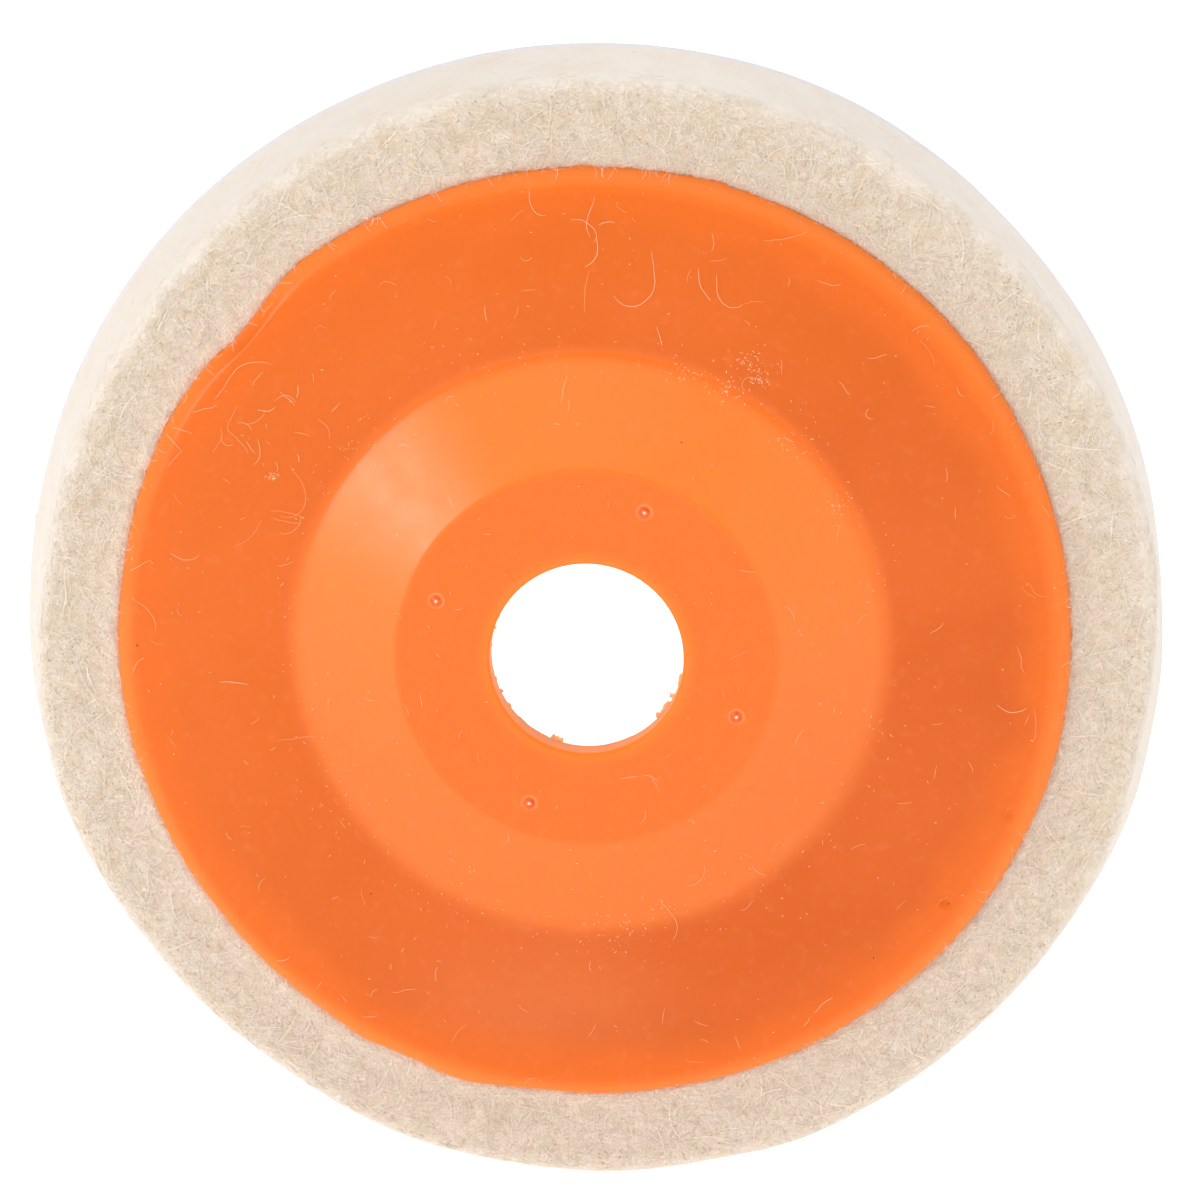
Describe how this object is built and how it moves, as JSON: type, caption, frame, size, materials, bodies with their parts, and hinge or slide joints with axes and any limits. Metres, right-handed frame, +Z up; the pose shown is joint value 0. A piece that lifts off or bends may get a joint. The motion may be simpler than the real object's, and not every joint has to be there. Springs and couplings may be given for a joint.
{
  "type": "felt polishing wheel",
  "caption": "Round felt polishing wheel: a ring of wool felt glued to a dished plastic backing plate with a raised hub and a central bore for a grinder's spindle.",
  "frame": {"origin": "on the bore's axis, at the hub's back face, which seats against the grinder's flange", "axes": "+Y along the wheel's axis, from the back of the hub towards the felt's working face; +Z up; +X to the right when the back is seen"},
  "size_m": [0.1, 0.0167, 0.1],
  "materials": {
    "plate_plastic": "satin moulded orange plastic",
    "adhesive": "cured amber contact glue",
    "wool_felt": "pressed cream wool felt"
  },
  "bodies": {
    "root": {"backing_plate": "plate_plastic", "adhesive_layer": "adhesive", "felt_ring": "wool_felt"}
  },
  "joints": []
}
